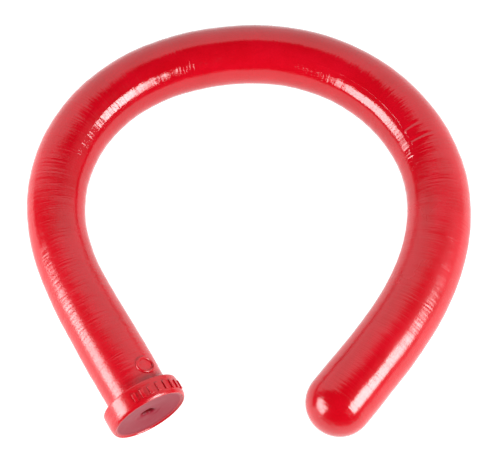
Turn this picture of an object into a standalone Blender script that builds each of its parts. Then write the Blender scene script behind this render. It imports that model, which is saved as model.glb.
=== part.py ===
"""Flexible moulded rod with a flanged end and a domed end, lying in a horseshoe bend.

The real rod is one piece of soft, glossy red vinyl that bends anywhere along its length. Here it is
divided into short links that turn on each other, so that the bend can open and close: each link has
a spherical socket at its end towards the flange and a ball of the rod's own radius at its other end.
The crown link is the fixed one, and a leg of links runs from it to each end of the rod.

Units are metres and +Z is up. The rod rests on the plane z = 0, and the origin lies in that plane
under the middle of the rod's bounding box. Stations are lengths along the centre line, measured
from the flange's end face.
"""

import math

import bmesh
import bpy
import numpy as np
from mathutils import Matrix, Vector

COLLECTION = "flexible_flanged_rod"

ROD_LENGTH = 0.691
FLANGE_RADIUS = 0.0247
FLANGE_THICKNESS = 0.0125
LIFT_SPAN = 0.180  # the rod sags from the flange's height to the ground over this length

# (station, rod radius): the leg narrows slightly where it starts to bend, and the rest is fuller.
RADIUS_PROFILE = (
    (0.000, 0.0186),
    (0.050, 0.0189),
    (0.115, 0.0180),
    (0.200, 0.0190),
    (0.300, 0.0194),
    (0.440, 0.0197),
    (ROD_LENGTH, 0.0202),
)

# (station, clockwise turn of the centre line in degrees per metre): straight legs at both ends,
# full sides and a slightly flatter crown.
TURN_PROFILE = (
    (0.000, 0),
    (0.040, 0),
    (0.070, 40),
    (0.110, 335),
    (0.150, 550),
    (0.185, 570),
    (0.220, 555),
    (0.270, 495),
    (0.315, 345),
    (0.360, 460),
    (0.430, 500),
    (0.465, 495),
    (0.500, 585),
    (0.530, 495),
    (0.570, 370),
    (0.610, 225),
    (0.660, 0),
    (ROD_LENGTH, 0),
)
START_HEADING = 120.4  # degrees from +X, at the flange, looking along the rod

# Turned outline of the flanged end: (depth behind the end face, radius), from the dimple at the
# middle of the dished face, over the flat resting ring and the rim, to the shoulder.
DIMPLE_DEPTH = 0.0045
FLANGE_OUTLINE = (
    (0.0042, 0.0012),
    (0.0030, 0.0028),
    (0.0024, 0.0060),
    (0.0008, 0.0194),
    (0.0000, 0.0203),
    (0.0000, 0.0236),
    (0.0004, 0.0244),
    (0.0012, FLANGE_RADIUS),
    (FLANGE_THICKNESS - 0.0012, FLANGE_RADIUS),
    (FLANGE_THICKNESS - 0.0003, 0.0244),
    (FLANGE_THICKNESS, 0.0237),
    (FLANGE_THICKNESS, 0.0197),
    (FLANGE_THICKNESS + 0.0005, 0.0190),
)
FLANGE_ROOT = FLANGE_THICKNESS + 0.0015  # the plain rod starts here

LINKS_PER_LEG = 8
SOCKET_GAP = 0.0004
SIDES = 24
BALL_STEPS = 6
BODY_STEP = 0.009
PATH_STEP = 0.0005

RED_VINYL = (0.60, 0.006, 0.012, 1.0)
VINYL_ROUGHNESS = 0.2


def running_sum(values):
    """Trapezoid integral of values that are PATH_STEP apart."""
    return np.concatenate(([0.0], np.cumsum((values[1:] + values[:-1]) / 2 * PATH_STEP)))


def smooth_profile(profile, at):
    """Cubic through the profile's points, with each point's slope taken from its neighbours."""
    knots, values = np.array(profile).T
    slopes = np.gradient(values, knots)
    i = np.clip(np.searchsorted(knots, at) - 1, 0, len(knots) - 2)
    width = knots[i + 1] - knots[i]
    t = (at - knots[i]) / width
    start = values[i] * (1 + 2 * t) + slopes[i] * width * t
    end = values[i + 1] * (3 - 2 * t) - slopes[i + 1] * width * (1 - t)
    return start * (1 - t) ** 2 + end * t**2


class CentreLine:
    """The rod's centre line, with its radius, heading and height at every station."""

    def __init__(self):
        self.stations = np.arange(0.0, ROD_LENGTH + PATH_STEP / 2, PATH_STEP)
        self.radii = smooth_profile(RADIUS_PROFILE, self.stations)
        rates = np.interp(self.stations, *np.array(TURN_PROFILE).T)
        self.turned = running_sum(rates)
        headings = np.radians(START_HEADING - self.turned)
        x = running_sum(np.cos(headings))
        y = running_sum(np.sin(headings))
        share = np.minimum((self.stations - FLANGE_THICKNESS) / LIFT_SPAN, 1)
        step = FLANGE_RADIUS - self.radius(FLANGE_THICKNESS)
        lift = step * (1 - 1.5 * share + 0.5 * share**3)
        self.points = np.column_stack((x, y, self.radii + lift))
        self.tangents = np.gradient(self.points, PATH_STEP, axis=0)
        self.centre_on_origin(headings)

    def centre_on_origin(self, headings):
        """Moves the line so that the middle of the rod's box, seen from above, is at the origin."""
        across = np.column_stack((np.sin(headings), np.cos(headings)))
        widths = np.where(self.stations < FLANGE_THICKNESS, FLANGE_RADIUS, self.radii)
        dome = self.stations <= ROD_LENGTH - self.radii[-1]
        reach = np.abs(across[dome]) * widths[dome, None]
        reach[-1] = self.radii[-1]
        flat = self.points[dome, :2]
        low = (flat - reach).min(axis=0)
        high = (flat + reach).max(axis=0)
        self.points[:, :2] -= (low + high) / 2

    def radius(self, station):
        return float(np.interp(station, self.stations, self.radii))

    def station_at_turn(self, turn):
        return float(np.interp(turn, self.turned, self.stations))

    def frame(self, station):
        """Matrix whose X points to the left of the rod, Y up and Z along it."""
        centre = Vector([np.interp(station, self.stations, c) for c in self.points.T])
        along = Vector([np.interp(station, self.stations, c) for c in self.tangents.T]).normalized()
        left = Vector((-along.y, along.x, 0.0)).normalized()
        up = along.cross(left)
        basis = Matrix((left, up, along)).transposed().to_4x4()
        return Matrix.Translation(centre) @ basis


def ring(frame, depth, radius):
    """Points of a circle across the frame's Z axis; a radius of nothing gives one point."""
    if radius < 1e-9:
        return [frame @ Vector((0.0, 0.0, depth))]
    turns = [2 * math.pi * i / SIDES for i in range(SIDES)]
    return [frame @ Vector((radius * math.cos(a), radius * math.sin(a), depth)) for a in turns]


def sphere_rings(frame, radius, widest, steps):
    """Rings of a sphere round the frame's origin, from its polar angle `widest` to the pole."""
    angles = [widest * (1 - i / steps) for i in range(steps + 1)]
    return [ring(frame, radius * math.cos(a), radius * math.sin(a)) for a in angles]


def ball_rings(line, station):
    """Ball at a link's far end, one ring after its equator and on to its tip."""
    return sphere_rings(line.frame(station), line.radius(station), math.pi / 2, BALL_STEPS)[1:]


def socket_rings(line, station):
    """Socket at a link's near end, from its deepest point out to its rim on the rod's surface."""
    radius = line.radius(station)
    room = radius + SOCKET_GAP
    rim = math.asin(radius / room)
    return sphere_rings(line.frame(station), room, rim, BALL_STEPS)[::-1]


def flange_rings(line):
    """Dished end face, rim and shoulder of the flange, from the dimple outwards."""
    face = line.frame(0.0)
    outline = ((DIMPLE_DEPTH, 0.0),) + FLANGE_OUTLINE
    return [ring(face, depth, radius) for depth, radius in outline]


def body_rings(line, start, end):
    """Rings along the plain rod, the last of them on the end station."""
    steps = max(3, round((end - start) / BODY_STEP))
    stations = np.linspace(start, end, steps + 1)
    return [ring(line.frame(s), 0.0, line.radius(s)) for s in stations]


def loft(mesh, rings, origin):
    """Joins each ring to the next into one closed skin, with points measured from the origin."""
    bm = bmesh.new()
    layers = [[bm.verts.new(point - origin) for point in points] for points in rings]
    for near, far in zip(layers, layers[1:]):
        for i in range(SIDES):
            j = (i + 1) % SIDES
            if len(near) == 1:
                bm.faces.new((near[0], far[j], far[i]))
            elif len(far) == 1:
                bm.faces.new((near[i], near[j], far[0]))
            else:
                bm.faces.new((near[i], near[j], far[j], far[i]))
    bm.to_mesh(mesh)
    bm.free()


def vinyl_material(name):
    material = bpy.data.materials.new(name)
    material.use_nodes = True
    shader = material.node_tree.nodes["Principled BSDF"]
    shader.inputs["Base Color"].default_value = RED_VINYL
    shader.inputs["Roughness"].default_value = VINYL_ROUGHNESS
    shader.inputs["Metallic"].default_value = 0.0
    material.diffuse_color = RED_VINYL
    return material


def make_link(collection, name, rings, origin, parent):
    """One link, with its origin on the vertical axis that it turns about."""
    mesh = bpy.data.meshes.new(name)
    loft(mesh, rings, origin)
    mesh.shade_smooth()
    mesh.set_sharp_from_angle(angle=math.radians(35))
    mesh.materials.append(vinyl_material(f"{name}_vinyl"))
    link = bpy.data.objects.new(name, mesh)
    collection.objects.link(link)
    link.location = origin
    if parent:
        link.parent = parent
        link.matrix_parent_inverse = Matrix.Translation(-parent.matrix_basis.translation)
    return link


def clear_scene():
    for obj in list(bpy.data.objects):
        bpy.data.objects.remove(obj, do_unlink=True)


def build_rod():
    line = CentreLine()
    dome_centre = ROD_LENGTH - line.radius(ROD_LENGTH)
    hinge_count = 2 * LINKS_PER_LEG
    turn_per_hinge = line.turned[-1] / hinge_count
    hinges = [line.station_at_turn(turn_per_hinge * (i + 0.5)) for i in range(hinge_count)]
    crown = LINKS_PER_LEG

    def link_rings(index):
        """Rings of the link between two hinges, counted from the flange."""
        end = hinges[index] if index < hinge_count else dome_centre
        if index == 0:
            return flange_rings(line) + body_rings(line, FLANGE_ROOT, end) + ball_rings(line, end)
        start = hinges[index - 1]
        socket = socket_rings(line, start)
        body = body_rings(line, start, end)[1:]
        return socket + body + ball_rings(line, end)

    def link_name(index):
        if index == crown:
            return "crown_link"
        if index == 0:
            return "flanged_end"
        if index == hinge_count:
            return "domed_end"
        side = "flange_leg" if index < crown else "dome_leg"
        return f"{side}_link_{abs(index - crown)}"

    def hinge_point(index):
        """A link turns about the hinge on its crown side; the crown itself turns about nothing."""
        if index == crown:
            return Vector((0.0, 0.0, 0.0))
        station = hinges[index] if index < crown else hinges[index - 1]
        return line.frame(station).translation

    collection = bpy.data.collections.new(COLLECTION)
    bpy.context.scene.collection.children.link(collection)
    crown_link = make_link(collection, link_name(crown), link_rings(crown), hinge_point(crown), None)
    for step in (-1, 1):
        parent = crown_link
        for away in range(1, LINKS_PER_LEG + 1):
            index = crown + step * away
            name = link_name(index)
            parent = make_link(collection, name, link_rings(index), hinge_point(index), parent)


clear_scene()
build_rod()
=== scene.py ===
import math

import bmesh
import bpy
import numpy as np
from mathutils import Matrix, Vector


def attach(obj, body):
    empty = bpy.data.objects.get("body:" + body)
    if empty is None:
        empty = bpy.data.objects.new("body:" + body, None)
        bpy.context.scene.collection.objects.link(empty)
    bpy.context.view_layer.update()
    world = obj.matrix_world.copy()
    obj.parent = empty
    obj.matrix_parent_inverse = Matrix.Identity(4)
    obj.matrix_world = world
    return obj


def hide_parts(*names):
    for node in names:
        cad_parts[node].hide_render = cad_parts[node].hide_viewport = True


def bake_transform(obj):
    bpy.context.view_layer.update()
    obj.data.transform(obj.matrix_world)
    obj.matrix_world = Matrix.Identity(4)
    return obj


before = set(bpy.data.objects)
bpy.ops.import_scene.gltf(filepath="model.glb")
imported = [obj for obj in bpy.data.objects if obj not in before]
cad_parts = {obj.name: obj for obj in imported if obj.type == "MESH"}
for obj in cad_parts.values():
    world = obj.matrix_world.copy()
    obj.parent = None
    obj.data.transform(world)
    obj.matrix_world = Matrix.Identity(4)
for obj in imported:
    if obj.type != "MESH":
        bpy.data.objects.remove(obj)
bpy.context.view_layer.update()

# The rod's path and thickness, as the solids have them, in metres.
ROD_LENGTH = 0.691
FLANGE_RADIUS = 0.0247
FLANGE_THICKNESS = 0.0125
LIFT_SPAN = 0.180
RADIUS_PROFILE = (
    (0.000, 0.0186),
    (0.050, 0.0189),
    (0.115, 0.0180),
    (0.200, 0.0190),
    (0.300, 0.0194),
    (0.440, 0.0197),
    (ROD_LENGTH, 0.0202),
)
# Degrees of turn per metre, clockwise.
TURN_PROFILE = (
    (0.000, 0),
    (0.040, 0),
    (0.070, 40),
    (0.110, 335),
    (0.150, 550),
    (0.185, 570),
    (0.220, 555),
    (0.270, 495),
    (0.315, 345),
    (0.360, 460),
    (0.430, 500),
    (0.465, 495),
    (0.500, 585),
    (0.530, 495),
    (0.570, 370),
    (0.610, 225),
    (0.660, 0),
    (ROD_LENGTH, 0),
)
START_HEADING = 120.4
PATH_STEP = 0.0005
LINKS_PER_LEG = 8

# The skin: rings along the rod, and the stations where its two end pieces stop.
SIDES = 112
RING_STEP = 0.0005
FIRST_BLEND = 0.077
LAST_BLEND = 0.643
BLEND_INSET = 0.003
DOME_RINGS = 44

# The flange from the bottom of its dimple to the root of the rod: station and radius in millimetres.
FLANGE_PROFILE = (
    (4.5, 0.0),
    (4.5, 1.2),
    (4.3, 2.6),
    (3.4, 3.5),
    (2.7, 4.2),
    (2.45, 5.6),
    (2.05, 8.5),
    (1.35, 15.0),
    (1.1, 19.0),
    (1.0, 21.0),
    (0.75, 21.7),
    (0.05, 22.2),
    (0.0, 22.5),
    (0.05, 22.9),
    (0.6, 23.25),
    (1.2, 23.6),
    (2.4, 23.9),
    (4.0, 24.0),
    (8.0, 24.0),
    (11.2, 24.0),
    (12.2, 23.85),
    (12.5, 23.5),
    (12.5, 22.0),
    (12.5, 20.2),
    (12.7, 19.3),
    (13.4, 18.75),
    (14.6, 18.62),
)
ROOT = 0.0146

# Marks in the skin: angles in degrees round the rod, the rest in metres.
SEED = 7
# Height, distance from one to the next and a limit on the swells round the rod.
LUMPS = ((0.00006, 0.034, 4), (0.00003, 0.012, 5))
RIPPLE_HEIGHT = 0.000026
RIPPLE_PITCH = 0.0021
RIPPLE_SWAY = 0.6
PATCH_LENGTH = 0.05
WEAR_STARTS = (0.016, 0.030)
WEAR_ENDS_BEFORE_TIP = (0.028, 0.010)
COLLAR = (0.0145, 0.016)
COLLAR_END = 0.024
COLLAR_STEP = 0.00015
SEAM_ANGLE = 122
SEAM_WIDTH = 1.5
SEAM_HEIGHT = 0.00009
SEAM_STARTS = (0.370, 0.390)
SEAM_ENDS = (0.476, 0.482)
# Station of each crease and how far it runs from the seam.
CREASES = ((0.4705, 44), (0.4804, 62))
CREASE_DEPTH = 0.0004
CREASE_WIDTH = 0.0014
CREASE_LIP_OFFSET = 0.0019
CREASE_LIP_SHARE = 0.45
# Station and angle of the patch, and its reach in both.
WRINKLES = (0.650, 96, 0.009, 36)
WRINKLE_PITCH = 0.0021
WRINKLE_HEIGHT = 0.000035
WRINKLE_SLANT = 0.016
DIMPLE_RADIUS = 0.009
DIMPLE_STATIONS = (0.0021, 0.0046)

# Plain raised marks on the flange end.
BAR_ANGLES = (80, 92, 104, 116, 128, 140, 152, 164)
BAR_STATION = 0.0056
BAR_SIZE = (0.0022, 0.0054, 0.0012)
BAR_BEVEL = 0.0002
OVAL_CENTRE = (0.0236, 128)
OVAL_SIZE = (0.0048, 0.0056)
OVAL_THICKNESS = 0.0011
OVAL_SINK = 0.0002
OVAL_STEPS = (72, 12)
ROD_BY_OVAL = 0.0187

# Vinyl. On the finish's length axis the flange's face is below 0 and the rest of the rod above it.
DARK_RED = (0.37, 0.0015, 0.006)
LIGHT_RED = (0.41, 0.002, 0.009)
FACE_RED = (0.205, 0.003, 0.016, 1)
# The dimple's dark red is painted shade in the recess; it fades out between the two radii of the
# dimple's edge.
DIMPLE_SHADE_RED = (0.09, 0.001, 0.003, 1)
FACE_EDGE = (-0.0075, -0.0055)
DIMPLE_SHADE_EDGE = (0.15, 0.21)
GROOVE_DEPTH = 0.00006
GRAIN_DEPTH = 0.000012

FLOOR_HALF = 12
FLOOR_Z = -0.0004
FLAG_LOW = (-0.7, -1.0)
FLAG_HIGH = (0.7, -0.27)
FLAG_Z = 0.001

# Azimuth, elevation, distance, size and radiance. Azimuth 0 is over +X and 90 over +Y.
LEFT_BOX = (202, 18.5, 0.95, (0.71, 0.50), 14.5)
RIGHT_BOX = (331, 31.5, 1.2, (0.62, 0.63), 20)

CAMERA_LENS = 92.17
CAMERA_TARGET = (0.00095, 0.00061, 0)
CAMERA_ELEVATION = 65.64
CAMERA_DISTANCE = 0.8228


def running_sum(values):
    """The integral from the first station to each one."""
    steps = (values[1:] + values[:-1]) / 2 * PATH_STEP
    return np.concatenate(([0.0], np.cumsum(steps)))


def smooth_profile(profile, at):
    """A smooth curve through the profile's pairs, read at the stations."""
    knots, values = np.array(profile).T
    slopes = np.gradient(values, knots)
    i = np.clip(np.searchsorted(knots, at) - 1, 0, len(knots) - 2)
    width = knots[i + 1] - knots[i]
    t = (at - knots[i]) / width
    start = values[i] * (1 + 2 * t) + slopes[i] * width * t
    end = values[i + 1] * (3 - 2 * t) - slopes[i + 1] * width * (1 - t)
    return start * (1 - t) ** 2 + end * t**2


class CentreLine:
    """The rod's path over the floor, from the flange's face to the end of the dome."""

    def __init__(self):
        self.stations = np.arange(0, ROD_LENGTH + PATH_STEP / 2, PATH_STEP)
        self.radii = smooth_profile(RADIUS_PROFILE, self.stations)
        self.turned = running_sum(smooth_profile(TURN_PROFILE, self.stations))
        headings = np.radians(START_HEADING - self.turned)
        share = np.minimum((self.stations - FLANGE_THICKNESS) / LIFT_SPAN, 1)
        step = FLANGE_RADIUS - self.radius(FLANGE_THICKNESS)
        lift = step * (1 - 1.5 * share + 0.5 * share**3)
        x, y = running_sum(np.cos(headings)), running_sum(np.sin(headings))
        self.points = np.stack((x, y, self.radii + lift), axis=1)
        self.centre_on_origin(headings)
        self.tangents = np.gradient(self.points, PATH_STEP, axis=0)

    def centre_on_origin(self, headings):
        """Moves the line so that the middle of the rod's box, seen from above, is at the origin."""
        across = np.column_stack((np.sin(headings), np.cos(headings)))
        widths = np.where(self.stations < FLANGE_THICKNESS, FLANGE_RADIUS, self.radii)
        dome = self.stations <= ROD_LENGTH - self.radii[-1]
        reach = np.abs(across[dome]) * widths[dome, None]
        reach[-1] = self.radii[-1]
        flat = self.points[dome, :2]
        low = (flat - reach).min(axis=0)
        high = (flat + reach).max(axis=0)
        self.points[:, :2] -= (low + high) / 2

    def radius(self, station):
        return np.interp(station, self.stations, self.radii)

    def station_at_turn(self, turn):
        return float(np.interp(turn, self.turned, self.stations))

    def read(self, rows, stations):
        columns = [np.interp(stations, self.stations, column) for column in rows.T]
        return np.stack(columns, axis=1)

    def frames(self, stations):
        """Centre, left, up and forward at each station, as rows."""
        centre = self.read(self.points, stations)
        forward = self.read(self.tangents, stations)
        forward /= np.linalg.norm(forward, axis=1)[:, None]
        left = np.stack((-forward[:, 1], forward[:, 0], 0 * forward[:, 0]), axis=1)
        left /= np.linalg.norm(left, axis=1)[:, None]
        return centre, left, np.cross(forward, left), forward


def rounded(points, times=3):
    """The open line with its corners cut, its ends kept."""
    points = np.array(points, float)
    for _ in range(times):
        near = 0.75 * points[:-1] + 0.25 * points[1:]
        far = 0.25 * points[:-1] + 0.75 * points[1:]
        cut = np.stack((near, far), axis=1).reshape(-1, 2)
        points = np.vstack((points[:1], cut[1:-1], points[-1:]))
    return points


def bump(value, centre, width):
    """A smooth hump, 1 at the centre and near 0 a width away."""
    return np.exp(-(((value - centre) / width) ** 2) * 2)


def waves(rng, count, period, station, angle, turns, sway=0.9):
    """Sines that run along the rod at about this period and drift round it."""
    total = np.zeros(np.broadcast(station, angle).shape)
    for _ in range(count):
        rate = 2 * math.pi / (period * rng.uniform(0.7, 1.4))
        drift = sway * np.sin(rng.integers(1, turns) * angle + rng.uniform(0, 2 * math.pi))
        total += np.sin(rate * station + rng.uniform(0, 2 * math.pi) + drift)
    return total / math.sqrt(count)


def step_between(value, low, high):
    """0 below low, 1 above high and smooth between."""
    t = np.clip((value - low) / (high - low), 0, 1)
    return t * t * (3 - 2 * t)


def worn(station, angle, tip):
    """The unevenness of the moulding and the fine marks round it, fading out towards both ends."""
    rng = np.random.default_rng(SEED)
    lumps = 0
    for height, length, turns in LUMPS:
        lumps = lumps + height * waves(rng, 6, length, station, angle, turns)
    patches = 0.6 + 0.4 * waves(rng, 5, PATCH_LENGTH, station, angle, 4)
    ripple = RIPPLE_HEIGHT * waves(rng, 9, RIPPLE_PITCH, station, angle, 4, RIPPLE_SWAY)
    on_rod = step_between(station, *WEAR_STARTS)
    off_dome = 1 - step_between(station, *(tip - before for before in WEAR_ENDS_BEFORE_TIP))
    return (lumps + ripple * np.clip(patches, 0.25, 1.3)) * on_rod * off_dome


def collar(station):
    """The small step in behind the flange."""
    inside = 1 - step_between(station, COLLAR_END - 0.0004, COLLAR_END + 0.0004)
    return COLLAR_STEP * inside * step_between(station, *COLLAR)


def seam(station, angle):
    """The thin line that the mould leaves."""
    reach = step_between(station, *SEAM_STARTS) * (1 - step_between(station, *SEAM_ENDS))
    return SEAM_HEIGHT * bump(np.degrees(angle), SEAM_ANGLE, SEAM_WIDTH) * reach


def creases(station, angle):
    """Grooves that run out from the seam, each with a low lip beside it."""
    degrees = np.degrees(angle)
    inner_end = 1 - step_between(degrees, SEAM_ANGLE, SEAM_ANGLE + 2)
    height = 0
    for place, reach in CREASES:
        outer_end = step_between(degrees, SEAM_ANGLE - reach, SEAM_ANGLE - 0.3 * reach)
        groove = bump(station, place, CREASE_WIDTH)
        lip = CREASE_LIP_SHARE * bump(station, place + CREASE_LIP_OFFSET, CREASE_WIDTH)
        height = height + CREASE_DEPTH * (lip - groove) * outer_end * inner_end
    return height


def wrinkles(station, angle):
    """A patch of fine slanting wrinkles above the dome."""
    place, middle, length, width = WRINKLES
    patch = bump(station, place, length) * bump(np.degrees(angle), middle, width)
    slant = station - WRINKLE_SLANT * (angle - math.radians(100))
    phase = 2 * math.pi * slant / WRINKLE_PITCH + 1.5 * np.sin(260 * station)
    return WRINKLE_HEIGHT * np.sin(phase) * patch


def ring_angles():
    """Even angles round the rod, with closer ones at the seam. 0 is outside the bend and 90 the top."""
    even = np.arange(SIDES) * 360 / SIDES
    even = even[np.abs(even - SEAM_ANGLE) > 3.2]
    close = SEAM_ANGLE + np.array((-2.4, -1.7, -1.1, -0.55, 0, 0.55, 1.1, 1.7, 2.4))
    return np.radians(np.sort(np.concatenate((even, close))))


class Skin:
    """The whole surface as rings of points, with one pole at each end."""

    def __init__(self, line):
        self.line = line
        turn = line.turned[-1] / (2 * LINKS_PER_LEG)
        inner = [line.station_at_turn(turn * i) for i in range(1, 2 * LINKS_PER_LEG)]
        self.borders = [FIRST_BLEND, *inner, LAST_BLEND]
        self.dome_start = ROD_LENGTH - line.radii[-1]
        self.angles = ring_angles()
        self.make_rings()
        self.make_points()
        self.make_normals()

    def make_rings(self):
        """Each ring's station and radius, and its length along the surface, which the finish follows."""
        head = rounded(FLANGE_PROFILE) / 1000
        lengths = np.linalg.norm(np.diff(head, axis=0), axis=1)
        walk = np.concatenate(([0], np.cumsum(lengths)))
        head_along = head[-1, 0] - walk[-1] + walk
        stops = [ROOT, *self.borders, self.dome_start]
        rod = [ROOT]
        self.border_rings = []
        for a, b in zip(stops, stops[1:]):
            steps = max(1, round((b - a) / RING_STEP))
            rod.extend(np.linspace(a, b, steps + 1)[1:])
            self.border_rings.append(len(rod) - 1)
        rod = np.array(rod[1:])
        radii = self.line.radius(rod)
        swing = np.linspace(0, math.pi / 2, DOME_RINGS + 1)[1:]
        cap = self.line.radii[-1]
        dome = self.dome_start + cap * np.sin(swing)
        self.stations = np.concatenate((head[:, 0], rod, dome))
        self.radii = np.concatenate((head[:, 1], radii, cap * np.cos(swing)))
        self.along = np.concatenate((head_along, rod, self.dome_start + cap * swing))
        self.border_rings = [len(head) - 1 + r for r in self.border_rings[:-1]]

    def relief(self):
        """How far each point stands off the plain form, in metres."""
        s, a = self.along[:, None], self.angles[None, :]
        height = worn(s, a, self.along[-1]) - collar(s)
        return height + seam(s, a) + creases(s, a) + wrinkles(s, a)

    def dimple_outline(self):
        """A share of the radius, which makes the dimple's rings uneven and leaves the others round."""
        low, high = DIMPLE_STATIONS
        shaded_dimple = (self.stations > low) & (self.stations < high) & (self.radii < DIMPLE_RADIUS)
        depth = step_between(DIMPLE_RADIUS - self.radii, 0, 0.004)[:, None] * shaded_dimple[:, None]
        wave = 0.22 * np.sin(2 * self.angles + 0.6) + 0.12 * np.sin(3 * self.angles + 2)
        return 1 + depth * wave

    def make_points(self):
        centre, left, up, forward = self.line.frames(np.minimum(self.stations, self.dome_start))
        ahead = np.maximum(self.stations - self.dome_start, 0)[:, None]
        centre = centre + forward * ahead
        cos, sin = np.cos(self.angles), np.sin(self.angles)
        out = left[:, None] * cos[None, :, None] + up[:, None] * sin[None, :, None]
        reach = self.radii[:, None] * self.dimple_outline() + self.relief()
        self.points = centre[:, None] + out * reach[..., None]
        self.points[..., 2] = np.maximum(self.points[..., 2], 0)
        share = (self.radii / self.line.radius(np.clip(self.stations, 0, ROD_LENGTH)))[:, None]
        along = np.repeat(self.along[:, None], len(cos), axis=1)
        self.finish = np.stack((cos * share, sin * share, along), axis=2)

    def make_normals(self):
        """One normal at each point of the whole skin, so that the pieces cut from it shade as one."""
        round_it = np.roll(self.points, -1, axis=1) - np.roll(self.points, 1, axis=1)
        down = np.gradient(self.points, axis=0)
        normals = np.cross(round_it, down)
        length = np.linalg.norm(normals, axis=2, keepdims=True)
        self.normals = normals / np.maximum(length, 1e-12)
        frames = self.line.frames(self.stations[[0, -1]])[3]
        self.normals[0] = -frames[0]
        self.normals[-1] = frames[1]

    def piece(self, name, first, last):
        """A mesh of the rings from first to last. A ring of no radius becomes one point."""
        points, normals = self.points[first : last + 1], self.normals[first : last + 1]
        finish = self.finish[first : last + 1]
        count, sides = points.shape[:2]
        index = np.arange(count * sides).reshape(count, sides)
        nxt = np.roll(index, -1, axis=1)
        quads = np.stack((index[:-1], nxt[:-1], nxt[1:], index[1:]), axis=-1).reshape(-1, 4)
        faces = [tuple(q) for q in quads.tolist()]
        keep = np.ones(count * sides, bool)
        for ring, rows in ((0, slice(0, sides)), (count - 1, slice(-sides, None))):
            if self.radii[first + ring] > 1e-6:
                continue
            keep[index[ring, 1:]] = False
            pole = dict.fromkeys(index[ring].tolist(), int(index[ring, 0]))
            merged = [dict.fromkeys(pole.get(v, v) for v in face) for face in faces[rows]]
            faces[rows] = [tuple(face) for face in merged]
        order = np.cumsum(keep) - 1
        faces = [tuple(int(order[v]) for v in face) for face in faces]
        mesh = bpy.data.meshes.new(name)
        mesh.from_pydata(points.reshape(-1, 3)[keep].tolist(), [], faces)
        mesh.shade_smooth()
        rod = mesh.attributes.new("rod", "FLOAT_VECTOR", "POINT")
        rod.data.foreach_set("vector", finish.reshape(-1, 3)[keep].astype(np.float32).ravel())
        mesh.normals_split_custom_set_from_vertices(normals.reshape(-1, 3)[keep].tolist())
        obj = bpy.data.objects.new(name, mesh)
        bpy.context.scene.collection.objects.link(obj)
        return obj


class Nodes:
    """Short calls for building one material's tree."""

    def __init__(self, tree):
        self.tree = tree

    def add(self, kind, inputs=(), **settings):
        node = self.tree.nodes.new(kind)
        for key, value in settings.items():
            setattr(node, key, value)
        for key, value in dict(inputs).items():
            if isinstance(value, bpy.types.NodeSocket):
                self.tree.links.new(value, node.inputs[key])
            else:
                node.inputs[key].default_value = value
        return node

    def scaled(self, vector, scale):
        inputs = {0: vector, 1: scale}
        return self.add("ShaderNodeVectorMath", inputs, operation="MULTIPLY").outputs[0]

    def noise(self, vector, scale, detail=2, roughness=0.5):
        """Noise that is stretched by a scale on each axis of the vector."""
        placed = self.scaled(vector, scale)
        inputs = {"Vector": placed, "Scale": 1.0, "Detail": detail, "Roughness": roughness}
        return self.add("ShaderNodeTexNoise", inputs).outputs["Fac"]

    def span(self, value, low, high, to_low, to_high):
        """The value, clipped to low and high and carried over to to_low and to_high."""
        ends = {"From Min": low, "From Max": high, "To Min": to_low, "To Max": to_high}
        return self.add("ShaderNodeMapRange", {"Value": value, **ends}).outputs["Result"]

    def maths(self, operation, a, b):
        return self.add("ShaderNodeMath", {0: a, 1: b}, operation=operation).outputs[0]

    def mix(self, factor, a, b):
        node = self.add("ShaderNodeMix", data_type="RGBA")
        self.tree.links.new(factor, node.inputs[0])
        node.inputs[6].default_value = (*a, 1)
        node.inputs[7].default_value = (*b, 1)
        return node.outputs[2]

    def bump(self, height, distance, normal=None):
        inputs = {"Height": height, "Distance": distance, "Strength": 1.0}
        if normal is not None:
            inputs["Normal"] = normal
        return self.add("ShaderNodeBump", inputs).outputs["Normal"]


def vinyl_material():
    """Glossy moulded vinyl with fine marks that run round the rod, and a duller end face."""
    material = bpy.data.materials.new("red_vinyl")
    material.use_nodes = True
    tree = material.node_tree
    nodes = Nodes(tree)
    shader = tree.nodes["Principled BSDF"]
    rod = nodes.add("ShaderNodeAttribute", attribute_name="rod").outputs["Vector"]
    along = nodes.add("ShaderNodeSeparateXYZ", {0: rod}).outputs["Z"]
    mottle = nodes.noise(rod, (1.6, 1.6, 45), 3, 0.55)
    on_side = nodes.span(along, *FACE_EDGE, 0, 1)
    across = nodes.scaled(rod, (1, 1, 0))
    off_centre = nodes.add("ShaderNodeVectorMath", {0: across}, operation="LENGTH")
    near_centre = nodes.span(off_centre.outputs["Value"], *DIMPLE_SHADE_EDGE, 1, 0)
    shaded_dimple = nodes.maths("MULTIPLY", near_centre, nodes.span(on_side, 0, 1, 1, 0))
    vinyl_look(nodes, shader, mottle, on_side, shaded_dimple)
    vinyl_shine(nodes, shader, along, mottle, on_side, shaded_dimple)
    vinyl_marks(nodes, shader, rod, along, on_side)
    return material


def vinyl_look(nodes, shader, mottle, on_side, shaded_dimple):
    """Mottled red, darker on the face, and darkest in the dimple, where painted shade darkens the
    recess.
    """
    side = nodes.mix(nodes.span(mottle, 0.35, 0.65, 0, 1), DARK_RED, LIGHT_RED)
    shade = nodes.add("ShaderNodeMix", {0: on_side, 7: side}, data_type="RGBA")
    shade.inputs[6].default_value = FACE_RED
    # Painted shade: the dimple's colour goes to near black red.
    pit_shade = nodes.add("ShaderNodeMix", {0: shaded_dimple, 6: shade.outputs[2]}, data_type="RGBA")
    pit_shade.inputs[7].default_value = DIMPLE_SHADE_RED
    nodes.tree.links.new(pit_shade.outputs[2], shader.inputs["Base Color"])


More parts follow.
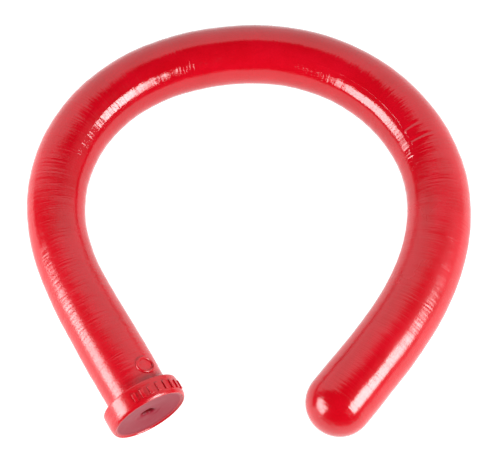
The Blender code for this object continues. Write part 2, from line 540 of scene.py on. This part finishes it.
def vinyl_shine(nodes, shader, along, mottle, on_side, shaded_dimple):
    """Glossy round the bend, duller on both legs and on the face."""
    gloss = nodes.span(on_side, 0, 1, 0.15, 0.5)
    # Painted shade in the dimple also takes shine off there.
    gloss = nodes.maths("SUBTRACT", gloss, nodes.span(shaded_dimple, 0, 1, 0, 0.13))
    nodes.tree.links.new(gloss, shader.inputs["Specular IOR Level"])
    flange_leg = nodes.span(along, 0.10, 0.20, 0.24, 0.10)
    dome_leg = nodes.span(along, 0.49, 0.54, 0.10, 0.29)
    dome_leg = nodes.maths("MINIMUM", dome_leg, nodes.span(along, 0.57, 0.65, 0.29, 0.16))
    roughness = nodes.maths("MAXIMUM", flange_leg, dome_leg)
    roughness = nodes.maths("ADD", roughness, nodes.span(mottle, 0.3, 0.7, -0.02, 0.03))
    roughness = nodes.maths("ADD", roughness, nodes.span(on_side, 0, 1, 0.16, 0))
    nodes.tree.links.new(roughness, shader.inputs["Roughness"])
    shader.inputs["IOR"].default_value = 1.5


def vinyl_marks(nodes, shader, rod, along, on_side):
    """Fine grooves and scratches round the rod, stronger on the flange's leg, over a faint grain."""
    grooves = nodes.span(nodes.noise(rod, (1.1, 1.1, 470), 2, 0.55), 0.36, 0.50, 0, 1)
    scratches = nodes.span(nodes.noise(rod, (1.8, 1.8, 1150), 3, 0.65), 0.36, 0.54, 0, 0.55)
    strength = nodes.maths("MULTIPLY", on_side, nodes.span(along, 0.08, 0.14, 1.1, 0.65))
    lines = nodes.maths("MULTIPLY", nodes.maths("ADD", grooves, scratches), strength)
    normal = nodes.bump(lines, GROOVE_DEPTH)
    normal = nodes.bump(nodes.noise(rod, (26, 26, 1300), 2, 0.5), GRAIN_DEPTH, normal)
    nodes.tree.links.new(normal, shader.inputs["Normal"])


def put_on_flange_end(name, mesh, finish, material):
    """Puts a mesh on the flange end, with the coordinates that its finish follows."""
    mesh.shade_smooth()
    rod = mesh.attributes.new("rod", "FLOAT_VECTOR", "POINT")
    rod.data.foreach_set("vector", np.array(finish, np.float32).ravel())
    mesh.materials.append(material)
    obj = bpy.data.objects.new(name, mesh)
    bpy.context.scene.collection.objects.link(obj)
    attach(obj, "flanged_end")


def make_rim_bars(line, material):
    """Even raised bars along the upper part of the rim."""
    bm = bmesh.new()
    finish = []
    frames = line.frames(np.array((BAR_STATION,)))
    centre, left, up, forward = (rows[0] for rows in frames)
    for degrees in BAR_ANGLES:
        angle = math.radians(degrees)
        out = left * math.cos(angle) + up * math.sin(angle)
        bar = bmesh.new()
        bmesh.ops.create_cube(bar, size=1)
        bmesh.ops.scale(bar, vec=BAR_SIZE, verts=bar.verts)
        edges = bar.edges[:]
        bmesh.ops.bevel(bar, geom=edges, offset=BAR_BEVEL, segments=3, affect="EDGES", profile=0.5)
        middle = centre + out * (FLANGE_RADIUS - BAR_SIZE[2] / 2)
        place = Matrix((np.cross(forward, out), forward, out)).transposed().to_4x4()
        place.translation = middle
        bmesh.ops.transform(bar, matrix=place, verts=bar.verts)
        mesh = bpy.data.meshes.new("bar")
        bar.to_mesh(mesh)
        bar.free()
        finish.extend([(math.cos(angle), math.sin(angle), BAR_STATION)] * len(mesh.vertices))
        bm.from_mesh(mesh)
        bpy.data.meshes.remove(mesh)
    mesh = bpy.data.meshes.new("rim_bars")
    bm.to_mesh(mesh)
    bm.free()
    put_on_flange_end("rim_bars", mesh, finish, material)


def make_oval_ring(line, material):
    """A raised plain oval ring on the rod, close behind the flange."""
    around, section = OVAL_STEPS
    t = np.arange(around) * 2 * math.pi / around
    station = OVAL_CENTRE[0] + OVAL_SIZE[0] * np.cos(t)
    angle = math.radians(OVAL_CENTRE[1]) + OVAL_SIZE[1] * np.sin(t) / ROD_BY_OVAL
    centre, left, up, _ = line.frames(station)
    out = left * np.cos(angle)[:, None] + up * np.sin(angle)[:, None]
    spine = centre + out * (line.radius(station) - OVAL_SINK)[:, None]
    ahead = np.roll(spine, -1, axis=0) - np.roll(spine, 1, axis=0)
    across = np.cross(ahead, out)
    across /= np.linalg.norm(across, axis=1)[:, None]
    points = []
    finish = []
    for i in range(around):
        for k in range(section):
            turn = 2 * math.pi * k / section
            offset = across[i] * math.cos(turn) + out[i] * math.sin(turn)
            points.append(spine[i] + OVAL_THICKNESS * offset)
            finish.append((math.cos(angle[i]), math.sin(angle[i]), station[i]))
    index = np.arange(around * section).reshape(around, section)
    ring, side = np.roll(index, -1, axis=0), np.roll(index, -1, axis=1)
    quads = np.stack((index, side, np.roll(ring, -1, axis=1), ring), axis=-1).reshape(-1, 4)
    mesh = bpy.data.meshes.new("oval_ring")
    mesh.from_pydata([tuple(p) for p in points], [], quads.tolist())
    put_on_flange_end("oval_ring", mesh, finish, material)


def body_names():
    """The bodies in order from the flange to the dome."""
    near = [f"flange_leg_link_{i}" for i in range(LINKS_PER_LEG - 1, 0, -1)]
    far = [f"dome_leg_link_{i}" for i in range(1, LINKS_PER_LEG)]
    return ["flanged_end", *near, "crown_link", *far, "domed_end"]


def make_skin(line, material):
    """The vinyl skin: a flange end, a piece across each hinge and a dome end."""
    skin = Skin(line)
    bodies = body_names()
    rings = [0, *skin.border_rings, len(skin.stations) - 1]
    bends = [f"skin_bend_{i + 1:02d}" for i in range(2 * LINKS_PER_LEG)]
    names = ["skin_flange_end", *bends, "skin_dome_end"]
    made = []
    for name, first, last in zip(names, rings, rings[1:]):
        obj = skin.piece(name, first, last)
        obj.data.materials.append(material)
        made.append(obj)
    for obj, body in ((made[0], bodies[0]), (made[-1], bodies[-1])):
        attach(obj, body)
        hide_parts(body)
    for i, obj in enumerate(made[1:-1]):
        ends = np.array((skin.borders[i] + BLEND_INSET, skin.borders[i + 1] - BLEND_INSET))
        start, end = line.frames(ends)[0]
        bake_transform(obj)
        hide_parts(bodies[i + 1])


def flat_sheet(name, low, high, height, shade, glow=0.0):
    """A level matt rectangle that isn't part of the object."""
    mesh = bpy.data.meshes.new(name)
    outline = [(low[0], low[1], 0), (high[0], low[1], 0), (high[0], high[1], 0), (low[0], high[1], 0)]
    mesh.from_pydata(outline, [], [(0, 1, 2, 3)])
    sheet = bpy.data.objects.new(name, mesh)
    bpy.context.scene.collection.objects.link(sheet)
    sheet.location.z = height
    material = bpy.data.materials.new(name)
    material.use_nodes = True
    shader = material.node_tree.nodes["Principled BSDF"]
    shader.inputs["Base Color"].default_value = (shade, shade, shade, 1)
    shader.inputs["Roughness"].default_value = 0.9
    shader.inputs["Specular IOR Level"].default_value = 0.0
    shader.inputs["Emission Color"].default_value = (1, 1, 1, 1)
    shader.inputs["Emission Strength"].default_value = glow
    mesh.materials.append(material)
    return sheet


def make_floor():
    """A wide pale table, which also glows a little."""
    low, high = (-FLOOR_HALF, -FLOOR_HALF), (FLOOR_HALF, FLOOR_HALF)
    flat_sheet("floor", low, high, FLOOR_Z, 0.35, glow=0.9)


def make_flag():
    """A black card on the table in front. Only reflections see it: it keeps the near side dark."""
    flag = flat_sheet("flag", FLAG_LOW, FLAG_HIGH, FLAG_Z, 0.01)
    flag.visible_camera = flag.visible_shadow = flag.visible_diffuse = False


def soft_box(name, azimuth, elevation, distance, size, radiance):
    """A rectangular light that looks at the middle of the object."""
    light = bpy.data.lights.new(name, "AREA")
    light.shape = "RECTANGLE"
    light.size, light.size_y = size
    light.energy = radiance * math.pi * size[0] * size[1]
    obj = bpy.data.objects.new(name, light)
    a, e = math.radians(azimuth), math.radians(elevation)
    place = Vector((math.cos(a) * math.cos(e), math.sin(a) * math.cos(e), math.sin(e)))
    obj.location = place * distance
    obj.rotation_euler = (-place).to_track_quat("-Z", "Y").to_euler()
    obj.visible_camera = False
    bpy.context.scene.collection.objects.link(obj)


def make_surround():
    """A studio with a bright backdrop, a dimmer right side and a dark front and ceiling."""
    world = bpy.data.worlds.new("studio")
    bpy.context.scene.world = world
    world.use_nodes = True
    tree = world.node_tree
    nodes = Nodes(tree)
    where = nodes.add("ShaderNodeTexCoord").outputs["Generated"]
    split = nodes.add("ShaderNodeSeparateXYZ", {0: where})
    back = nodes.span(split.outputs["Y"], 0.37, 0.49, 0, 1.35)
    right = nodes.span(split.outputs["X"], 0.35, 0.75, 0, 1)
    beside = nodes.span(split.outputs["Y"], -0.2, 0.1, 0, 0.55)
    light = nodes.maths("MAXIMUM", back, nodes.maths("MULTIPLY", right, beside))
    tree.links.new(light, tree.nodes["Background"].inputs["Strength"])
    tree.nodes["Background"].inputs["Color"].default_value = (1, 1, 1, 1)


def make_camera():
    camera = bpy.data.cameras.new("camera")
    camera.sensor_width = 36
    camera.sensor_fit = "HORIZONTAL"
    camera.lens = CAMERA_LENS
    camera.clip_start, camera.clip_end = 0.05, 20
    obj = bpy.data.objects.new("camera", camera)
    target = Vector(CAMERA_TARGET)
    elevation = math.radians(CAMERA_ELEVATION)
    back = Vector((0, -math.cos(elevation), math.sin(elevation)))
    obj.location = target + back * CAMERA_DISTANCE
    obj.rotation_euler = (-back).to_track_quat("-Z", "Y").to_euler()
    bpy.context.scene.collection.objects.link(obj)
    bpy.context.scene.camera = obj


bpy.context.scene.view_settings.view_transform = "Standard"
centre_line = CentreLine()
make_camera()
make_surround()
make_floor()
make_flag()
soft_box("left_box", *LEFT_BOX)
soft_box("right_box", *RIGHT_BOX)
vinyl = vinyl_material()
make_skin(centre_line, vinyl)
make_rim_bars(centre_line, vinyl)
make_oval_ring(centre_line, vinyl)
